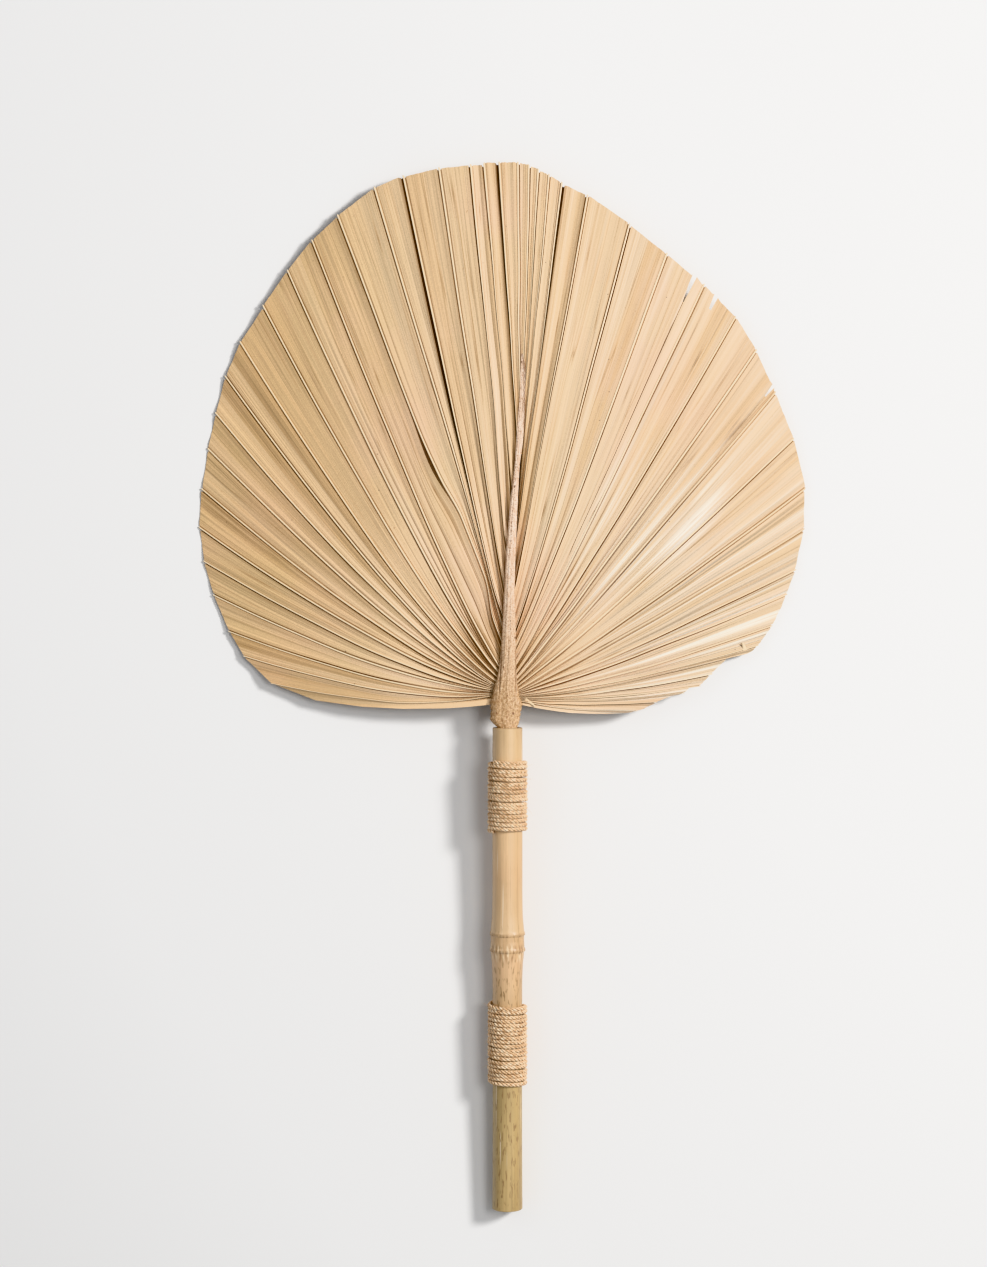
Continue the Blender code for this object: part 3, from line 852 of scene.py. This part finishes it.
def loft(name, rings, marks, uv):
    """A skin over rings of equally many points, closed at both ends."""
    bm = bmesh.new()
    uv_layer = bm.loops.layers.uv.new("fibres")
    mark_layer = bm.verts.layers.float.new("crease")
    count = len(rings[0])
    grid = []
    for ring, ring_marks in zip(rings, marks):
        line = []
        for place, mark in zip(ring, ring_marks):
            vert = bm.verts.new(place)
            vert[mark_layer] = float(mark)
            line.append(vert)
        grid.append(line)
    for r in range(len(grid) - 1):
        for k in range(count):
            n = (k + 1) % count
            face = bm.faces.new((grid[r][k], grid[r][n], grid[r + 1][n], grid[r + 1][k]))
            turns = (k, k + 1, k + 1, k)
            for loop, row, turn in zip(face.loops, (r, r, r + 1, r + 1), turns):
                loop[uv_layer].uv = (uv[0][turn], uv[1][row])
    bm.faces.new(grid[0][::-1])
    bm.faces.new(grid[-1])
    bmesh.ops.recalc_face_normals(bm, faces=bm.faces)
    return as_object(bm, name)


def stalk_ring(up, left, right, core, middle):
    """One ring round the stalk and how dark each of its points is; the underside gets painted shade.
    The flanks of the stalk stand off its core by the seams where the blade tore loose."""
    sink = np.clip(up / (40 * MM), 0, 1) * np.clip((330 * MM - up) / (120 * MM), 0, 1)
    base = spine_height(up) + stalk_lift * sink
    cracked = math.exp(-((up - seam_at) / (17 * MM)) ** 4)
    ring, ring_marks = [], []
    for angle in 2 * np.pi * np.arange(stalk_sides) / stalk_sides:
        x = 0.5 * (left + right) + 0.5 * (right - left) * math.cos(angle)
        out = abs(x - middle) / core
        rise = math.sin(angle)
        upper = rise > 0
        height = max(stalk_flatness * core, 0 if upper else stalk_sunk) * abs(rise) ** stalk_roundness
        z = base + math.copysign(height, rise) * (1 if abs(rise) > 1e-6 else 0)
        if upper:
            z += stalk_ridges[0] * math.sin(9 * angle + 40 * up) * rise
            z += stalk_ridges[1] * math.sin(23 * angle - 25 * up) * rise
        if abs(up - seam_at) < seam_half and upper:
            z -= seam_depth * max(0.0, 1 - abs(out - seam_out) / 0.10)
        ring.append((x + fan_place[0], up + fan_place[1], z))
        seam = max(0.0, 1 - abs(out - seam_out) / 0.13) * (0.75 + 0.25 * math.sin(900 * up))
        browning = 0.7 * max(0.0, out - 1.1) * (0.6 + 0.4 * math.sin(1400 * up + 9 * angle))
        # The underside is darkened with painted shade
        ring_marks.append(min(1.0, seam * cracked + browning) if upper else 0.3)
    return ring, ring_marks


def stalk_skin():
    """Rings and marks from the bottom of the stalk to the tip of the costa."""
    rings, marks = [], []
    for up in ups:
        ragged = math.exp(-((up - wings_at) / wings_half) ** 4) * stalk_ragged
        left = through([edge[:2] for edge in stalk_edges], up)
        left += ragged * (math.sin(1500 * up) + math.sin(3700 * up + 1))
        right = through([edge[::2] for edge in stalk_edges], up)
        right += ragged * (math.sin(1700 * up + 2) + math.sin(4100 * up))
        ring, ring_marks = stalk_ring(up, left, right, through(stalk_core, up), through(costa_swing, up))
        rings.append(ring)
        marks.append(ring_marks)
    return rings, marks


stalk_girth = 40 * MM
stalk = loft("costa_and_petiole", *stalk_skin(), (np.linspace(0, stalk_girth, stalk_sides + 1), ups))
stalk.data.shade_smooth()


def stalk_material():
    made, tree, shader = surface("dried stalk")
    spot = node(tree, "ShaderNodeTexCoord").outputs["Object"]
    crease = attribute(tree, "crease")
    _, upward = split_vector(spot)
    # The lower stalk is tanner, the costa paler and pinker
    body = ramp(noise(stretched(spot, (1, 0.6, 1)), 800.0, 4.0, 0.7),
                (0.36, (0.34, 0.19, 0.085)), (0.5, (0.53, 0.34, 0.18)), (0.64, (0.68, 0.49, 0.31)))
    rosy = ramp(noise(stretched(spot, (1, 0.18, 1)), 800.0, 3.0, 0.65),
                (0.32, (0.56, 0.36, 0.24)), (0.5, (0.80, 0.60, 0.45)), (0.68, (0.93, 0.79, 0.67)))
    body = painted(body, fading(upward, -10 * MM, 90 * MM, way="LINEAR"), rosy)
    # Mottled, and speckled with small brown and larger dark spots
    mottle = ramp(noise(spot, 1100.0, 2.0, 0.5), (0.54, 0), (0.62, 0.7))
    body = painted(body, mottle, (0.34, 0.19, 0.10))
    squashed = stretched(spot, (1, 0.6, 1))
    specks = spots(squashed, 620.0, 0.22, 0.36, 0.3)
    body = painted(body, times(specks, 0.75), (0.33, 0.17, 0.08))
    specks = spots(squashed, 150.0, 0.08, 0.13, 0.16)
    body = painted(body, times(specks, 0.9), (0.16, 0.07, 0.03))
    # Darker along the seams and the browned flanks, and painted shade on the underside
    body = painted(body, crease, (0.16, 0.07, 0.025))
    give(shader["Base Color"], body)
    give(shader["Roughness"], 0.55)
    along = stretched(spot, (1, 0.05, 1))
    normal = bumped(noise(along, 900.0, 3.0, 0.6), 0.3 * MM, 0.4)
    give(shader["Normal"], normal)
    return made


stalk.data.materials.append(stalk_material())
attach(stalk, "root")
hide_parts("palm_leaf")

# The handle.
# One length of bamboo with a single node: the sheath's scar, a rough band and the node's ring.
# It was sawn square at both ends, and the leaf's stalk was pushed into the open bore.
culm_radius = 11.0 * MM
scar_at, ring_at = 152.5 * MM, 164.2 * MM
mouth_shift = 1.2 * MM
bore_radius, lumen_radius = 7.6 * MM, 7.0 * MM
diaphragm_top, diaphragm_bottom = 157 * MM, 162 * MM
saw_chamfer = 0.45 * MM
bore_chamfer = 0.3 * MM
pole = 0.02 * MM
scar_half, ring_half = 1.1 * MM, 1.4 * MM
scar_ragged = (0.22 * MM, 0.8 * MM)
culm_uneven = 0.10 * MM
culm_sides = 192
culm_crisp_from = math.radians(40)
handle_line = (Matrix.Translation((fan_place[0], fan_place[1] + mouth_shift, spine_height(0.0)))
               @ Matrix.Rotation(math.atan(culm_slope) - math.pi / 2, 4, "X"))
# Distance down from the mouth, then the radius there, in millimetres, with the node's two rings
culm_swell = (
    (0, 11.0), (117, 11.0), (137, 11.25), (147, 12.0), (150.6, 12.4), (151.6, 12.85),
    (153.2, 12.95), (154.0, 12.3), (157, 12.25), (160, 12.45), (162.6, 12.6), (163.7, 13.1),
    (165.0, 13.05), (166.0, 12.35), (170, 12.0), (175, 11.45), (191, 11.0), (270, 11.0),
    (358, 11.2),
)


def culm_rings():
    """Rings from the diaphragm up the bore, over the mouth, down the outside and back up the
    lumen, with how dark each point is (node marks, painted shade in the hollow) and how far along it
    lies."""
    # Rings lie closer together round the node
    downs = np.concatenate([
        np.linspace(saw_chamfer, 148 * MM, 60), np.linspace(148.7 * MM, 172 * MM, 60),
        np.linspace(174 * MM, culm_length - saw_chamfer, 60),
    ])
    outer = [(float(through(culm_swell, down)), float(down)) for down in downs]
    profile = [(pole, diaphragm_top), (0.9 * bore_radius, diaphragm_top)]
    profile += [(bore_radius, diaphragm_top - 1 * MM), (bore_radius, 20 * MM)]
    profile += [(bore_radius, bore_chamfer), (bore_radius + bore_chamfer, 0.0)]
    profile += [(culm_radius - saw_chamfer, 0.0)] + outer
    profile += [(culm_end_radius - saw_chamfer, culm_length)]
    profile += [(lumen_radius + bore_chamfer, culm_length)]
    profile += [(lumen_radius, culm_length - bore_chamfer), (lumen_radius, culm_length - 40 * MM)]
    profile += [(lumen_radius, diaphragm_bottom + 1 * MM), (0.9 * lumen_radius, diaphragm_bottom)]
    profile += [(pole, diaphragm_bottom)]
    rings, marks = [], []
    angles = -2 * np.pi * np.arange(culm_sides) / culm_sides  # so that the faces look outward
    for radius, down in profile:
        ring, ring_marks = [], []
        near_scar = math.exp(-((down - scar_at) / scar_half) ** 2)
        near_ring = math.exp(-((down - ring_at) / ring_half) ** 2)
        for angle in angles:
            ragged = (math.sin(7 * angle + 1.0) + math.sin(17 * angle + 2.2) + math.sin(31 * angle)) / 3
            torn = ragged * (near_scar + near_ring)
            r = radius
            if radius > lumen_radius + 1 * MM:
                r += scar_ragged[0] * torn
                if 12 * MM < down < 350 * MM:
                    r += culm_uneven * math.sin(2 * angle + 0.7 + 14 * down)
            place = handle_line @ Vector((r * math.cos(angle), r * math.sin(angle),
                                          -down - scar_ragged[1] * torn))
            place.z = max(place.z, 0.0)
            ring.append(place)
            # Painted shade inside the hollow and on the inner lip of the mouth
            bore_shade = 0.6 if radius <= bore_radius and 2 * MM < down < culm_length - 2 * MM else 0.0
            mouth_shade = 0.9 if radius < 10 * MM and down < 0.2 * MM else 0.0
            dark = 0.75 * near_scar * (0.6 + 0.6 * ragged) + 0.7 * near_ring * (0.35 + 0.8 * ragged)
            ring_marks.append(min(1.0, max(bore_shade, mouth_shade, dark)))
        rings.append(ring)
        marks.append(ring_marks)
    return rings, marks, [-down for _, down in profile]


rings, marks, downs = culm_rings()
culm_round = np.linspace(0, 2 * math.pi * culm_radius, culm_sides + 1)
culm = loft("bamboo_culm", rings, marks, (culm_round, downs))
culm.data.shade_smooth()
culm.data.set_sharp_from_angle(angle=culm_crisp_from)

# Share of the way down, and share of the way round, with the colour there
bamboo_tones = (
    (0.0, (0.60, 0.42, 0.24)), (0.15, (0.66, 0.465, 0.275)), (0.30, (0.67, 0.45, 0.26)),
    (0.42, (0.66, 0.465, 0.275)), (0.435, (0.60, 0.40, 0.225)), (0.46, (0.60, 0.40, 0.225)),
    (0.48, (0.66, 0.44, 0.26)), (0.58, (0.56, 0.38, 0.21)), (0.70, (0.475, 0.345, 0.165)),
    (1.0, (0.48, 0.345, 0.165)),
)
bamboo_flank_shade = ((0.0, (0.80, 0.76, 0.70)), (0.14, (0.88, 0.85, 0.80)), (0.22, 1.0), (0.45, 1.0),
                (0.5, 0.97))


def bamboo_material():
    made, tree, shader = surface("bamboo")
    skin = node(tree, "ShaderNodeUVMap", uv_map="fibres").outputs["UV"]
    around, up = split_vector(skin)
    down = times(up, -1.0)

    # Golden above the node, tanner and then olive below it, and darkened on one flank with painted shade
    place = fading(down, 0.0, culm_length, way="LINEAR")
    body = ramp(place, *bamboo_tones)
    turned = maths("DIVIDE", around, 2 * math.pi * culm_radius)
    body = toned(body, turned, *bamboo_flank_shade)
    drift = strands(skin, 60, 14, 3.0, 0.6)
    body = toned(body, drift, (0.25, 0.86), (0.6, 1.06))
    body = toned(body, strands(skin, 520, 3.5, 2.0, 0.6), (0.32, 0.86), (0.5, 1.0))
    # Thin pale scratches down the skin
    scratch = ramp(strands(skin, 420, 9, 1.0, 0.5), (0.70, 0), (0.73, 0.7))
    body = painted(body, scratch, (0.88, 0.76, 0.58))
    fibres = strands(skin, 1500, 16, 2.0, 0.6)
    body = toned(body, fibres, (0.3, 0.93), (0.7, 1.04))

    # Roots once sprang from the node's ring, and left short upright marks
    marked = ramp(place, (0.444, 0), (0.452, 1), (0.470, 1), (0.485, 0))
    upright = strands(skin, 560, 60, 2.0, 0.6)
    pale_marks = times(ramp(upright, (0.54, 0), (0.60, 0.8)), marked)
    body = painted(body, pale_marks, (0.84, 0.66, 0.44))
    dark_marks = times(ramp(upright, (0.38, 0.8), (0.44, 0)), marked)
    body = painted(body, dark_marks, (0.32, 0.18, 0.09))

    # Dark dashes of mould, mostly below the node
    dashes = ramp(strands(skin, 700, 120, 2.0, 0.55), (0.575, 0), (0.63, 0.85))
    below = fading(down, 140 * MM, 190 * MM, 0.10, "LINEAR")
    body = painted(body, times(dashes, below), (0.27, 0.17, 0.08))
    # The node's dark scar and ring, and painted shade in the hollow and on the mouth's lip
    body = painted(body, attribute(tree, "crease"), (0.30, 0.18, 0.09))
    give(shader["Base Color"], body)
    give(shader["Roughness"], ramp(drift, (0.3, 0.34), (0.7, 0.46)))
    give(shader["Coat Weight"], 0.15)
    give(shader["Coat Roughness"], 0.25)
    give(shader["Normal"], bumped(fibres, 0.08 * MM, 0.5))
    return made


culm.data.materials.append(bamboo_material())
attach(culm, "root")
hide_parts("bamboo_handle")

# The two bindings.
# Jute twine of three plies, wound tight round the culm by hand. The plies are swept along the
# winding, each turned round the strand's own line, and fine fibres stand off them.
strand_radius = 1.5 * MM
twine_gap = 0.45 * MM
ply_count = 3
ply_radius = 0.74 * MM
ply_offset = 0.84 * MM
ply_lay = 9.0 * MM
ply_sides = 12
groove_from, groove_to = 1.40 * MM, 1.0 * MM
steps_a_turn = 72
# A strand wound by hand strays along the culm and off it
knot_every = 23
sway_by = (0.20 * MM, 0.13 * MM, 0.10 * MM)
uneven_by = 0.22 * MM
swell_by = 0.16 * MM
start_tucked = 0.5 * MM
bindings = {
    "upper_twine": {"node": "upper_twine_binding", "top": 23.4 * MM, "turns": 17,
                    "pitch": 3.03 * MM, "turned": 3.9, "fibres": 90},
    "lower_twine": {"node": "lower_twine_binding", "top": 203.9 * MM, "turns": 19,
                    "pitch": 3.11 * MM, "turned": 2.4, "fibres": 60},
}


def plied_twine(name):
    """A node tree that sweeps one ply and turns it round the strand, ply by ply."""
    tree = bpy.data.node_groups.new(name, "GeometryNodeTree")
    sockets = tree.interface
    sockets.new_socket("Geometry", in_out="INPUT", socket_type="NodeSocketGeometry")
    sizes = {}
    for label, value in (("Ply radius", ply_radius), ("Ply offset", ply_offset), ("Lay", ply_lay)):
        socket = sockets.new_socket(label, in_out="INPUT", socket_type="NodeSocketFloat")
        socket.default_value = value
        sizes[label] = socket.identifier
    socket = sockets.new_socket("Twine", in_out="INPUT", socket_type="NodeSocketMaterial")
    sizes["Twine"] = socket.identifier
    sockets.new_socket("Geometry", in_out="OUTPUT", socket_type="NodeSocketGeometry")
    given = node(tree, "NodeGroupInput").outputs
    strand = node(tree, "GeometryNodeMeshToCurve", Mesh=given["Geometry"]).outputs["Curve"]
    joined = node(tree, "GeometryNodeJoinGeometry")
    along = node(tree, "GeometryNodeSplineParameter").outputs["Length"]
    tangent = node(tree, "GeometryNodeInputTangent").outputs["Tangent"]
    axis = node(tree, "GeometryNodeInputNamedAttribute", data_type="FLOAT_VECTOR", Name="outward")
    lay = maths("DIVIDE", along, given["Lay"])
    for ply in range(ply_count):
        turn = node(tree, "ShaderNodeMath", operation="MULTIPLY_ADD")
        for socket, value in zip(turn.inputs, (lay, 2 * math.pi, 2 * math.pi * ply / ply_count)):
            give(socket, value)
        spun = node(tree, "ShaderNodeVectorRotate", rotation_type="AXIS_ANGLE",
                    Vector=axis.outputs["Attribute"], Axis=tangent, Angle=turn.outputs[0])
        far = node(tree, "ShaderNodeVectorMath", operation="SCALE", Scale=given["Ply offset"])
        give(far.inputs[0], spun.outputs["Vector"])
        moved = node(tree, "GeometryNodeSetPosition", Geometry=strand, Offset=far.outputs[0])
        section = node(tree, "GeometryNodeCurvePrimitiveCircle", Resolution=ply_sides,
                       Radius=given["Ply radius"])
        swept = node(tree, "GeometryNodeCurveToMesh", Fill_Caps=True, Curve=moved.outputs["Geometry"],
                     Profile_Curve=section.outputs["Curve"])
        give(joined.inputs["Geometry"], swept.outputs["Mesh"])
    realized = node(tree, "GeometryNodeRealizeInstances", Geometry=joined.outputs["Geometry"])
    finish = node(tree, "GeometryNodeSetMaterial", Geometry=realized.outputs["Geometry"],
                  Material=given["Twine"])
    node(tree, "NodeGroupOutput", Geometry=finish.outputs["Geometry"])
    return tree, sizes


def twine_material():
    made, tree, shader = surface("jute twine")
    spot = node(tree, "ShaderNodeTexCoord").outputs["Object"]
    body = ramp(noise(spot, 520.0, 3.0, 0.65),
                (0.30, (0.52, 0.29, 0.13)), (0.5, (0.88, 0.62, 0.38)), (0.66, (1.0, 0.88, 0.67)))
    body = toned(body, noise(spot, 110.0, 3.0, 0.6), (0.35, (0.84, 0.76, 0.68)), (0.55, 1.12))
    hairs = noise(spot, 3200.0, 2.0, 0.6)
    body = toned(body, hairs, (0.3, 0.62), (0.7, 1.2))
    # Painted shade in the grooves between the plies
    body = painted(body, attribute(tree, "groove_shade"), (0.20, 0.09, 0.035))
    give(shader["Base Color"], body)
    give(shader["Roughness"], 0.7)
    give(shader["Sheen Weight"], 0.15)
    give(shader["Normal"], bumped(hairs, 0.22 * MM, 0.9))
    return made


twist, twist_sizes = plied_twine("three plies")
jute = twine_material()


def strand_line(name, winding):
    """The strand's line as a mesh of edges, with the direction away from the culm at each point."""
    count = winding["turns"] * steps_a_turn
    knots = np.arange(0, count + 40, knot_every)
    rough = np.random.default_rng(winding["turns"]).normal(0, 0.6, len(knots))
    uneven = np.interp(np.arange(count + 1), knots, rough)
    around = winding["turned"] + 2 * np.pi * np.arange(count + 1) / steps_a_turn
    down = winding["top"] + strand_radius + winding["pitch"] * np.arange(count + 1) / steps_a_turn
    stray = sway_by[0] * np.sin(around * 0.37 + 1)
    stray += sway_by[1] * np.sin(around * 1.31 + winding["turned"])
    stray += sway_by[2] * np.sin(around * 3.7 + 2)
    stray[:8] -= start_tucked * np.linspace(1, 0, 8)
    stray += uneven_by * uneven
    radius = culm_radius + twine_gap + strand_radius + swell_by * (1 + np.sin(around * 0.53))
    radius += uneven_by * np.abs(np.roll(uneven, 11))
    bm = bmesh.new()
    outward = bm.verts.layers.float_vector.new("outward")
    line = []
    for angle, low, off, far in zip(around, down, stray, radius):
        ray = Vector((math.cos(angle), math.sin(angle), 0))
        vert = bm.verts.new(handle_line @ Vector((far * ray.x, far * ray.y, -low - off)))
        vert[outward] = handle_line.to_3x3() @ ray
        line.append(vert)
    for a, b in zip(line, line[1:]):
        bm.edges.new((a, b))
    return as_object(bm, name)


def wound_twine(name, winding):
    """The strand's line swept into plies, with how deep each point lies between them, for painted shade
    there.
    """
    made = strand_line(name, winding)
    core = mathutils.kdtree.KDTree(len(made.data.vertices))
    for vert in made.data.vertices:
        core.insert(vert.co, vert.index)
    core.balance()
    sweep = made.modifiers.new("plies", "NODES")
    sweep.node_group = twist
    sweep[twist_sizes["Ply radius"]] = ply_radius
    sweep[twist_sizes["Ply offset"]] = ply_offset
    sweep[twist_sizes["Lay"]] = ply_lay
    sweep[twist_sizes["Twine"]] = jute
    swept = made.evaluated_get(bpy.context.evaluated_depsgraph_get())
    plain = bpy.data.meshes.new_from_object(swept)
    made.modifiers.clear()
    made.data = plain
    plain.shade_smooth()
    groove_shade = plain.attributes.new("groove_shade", "FLOAT", "POINT")
    for vert, mark in zip(plain.vertices, groove_shade.data):
        vert.co.z = max(vert.co.z, 0.0)
        off = core.find(vert.co)[2]
        mark.value = min(1.0, max(0.0, (groove_from - off) / (groove_from - groove_to)))
    return made


fuzz_radius = 0.075 * MM
fibre_top = 1.0 * MM
fuzz_length = (2.5 * MM, 7.5 * MM)
fuzz_steps = 7
fuzz_rooted = 0.4 * MM


def fuzz(name, winding, draw):
    """Stray fibres that stand off the twine, each a thin tapered thread."""
    bm = bmesh.new()
    outer = culm_radius + twine_gap + 2 * strand_radius
    span = winding["turns"] * winding["pitch"]
    for _ in range(winding["fibres"]):
        angle = draw.uniform(0, 2 * math.pi)
        ray = Vector((math.cos(angle), math.sin(angle), 0))
        beside = Vector((-ray.y, ray.x, 0))
        down = winding["top"] + draw.uniform(0.02, 1.0) * span
        place = ray * (outer - fuzz_rooted) - Vector((0, 0, down))
        heading = (ray * draw.uniform(0.3, 1.0) + beside * draw.normal(0, 0.8)
                   + Vector((0, 0, draw.normal(0, 0.7)))).normalized()
        curl = Vector(draw.normal(0, 0.22, 3))
        step = draw.uniform(*fuzz_length) / fuzz_steps
        rings = []
        for k in range(fuzz_steps + 1):
            side = heading.orthogonal().normalized()
            other = heading.cross(side)
            thin = fuzz_radius * (1 - 0.8 * k / fuzz_steps)
            ring = []
            for corner in range(3):
                turn = 2 * math.pi * corner / 3
                off = (side * math.cos(turn) + other * math.sin(turn)) * thin
                point = handle_line @ (place + off)
                point.z = min(max(point.z, 0.0), cad_box[1][2] + fibre_top)
                ring.append(bm.verts.new(point))
            rings.append(ring)
            place = place + heading * step
            heading = (heading + curl).normalized()
        for low, high in zip(rings, rings[1:]):
            for a in range(3):
                b = (a + 1) % 3
                bm.faces.new((low[a], low[b], high[b], high[a]))
        bm.faces.new(rings[0][::-1])
        bm.faces.new(rings[-1])
    bmesh.ops.recalc_face_normals(bm, faces=bm.faces)
    made = as_object(bm, name)
    made.data.materials.append(jute)
    return made


fuzz_draw = np.random.default_rng(5)
for name, winding in bindings.items():
    for piece in (wound_twine(name, winding), fuzz(name + "_fibres", winding, fuzz_draw)):
        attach(piece, "root")
        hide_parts(winding["node"])
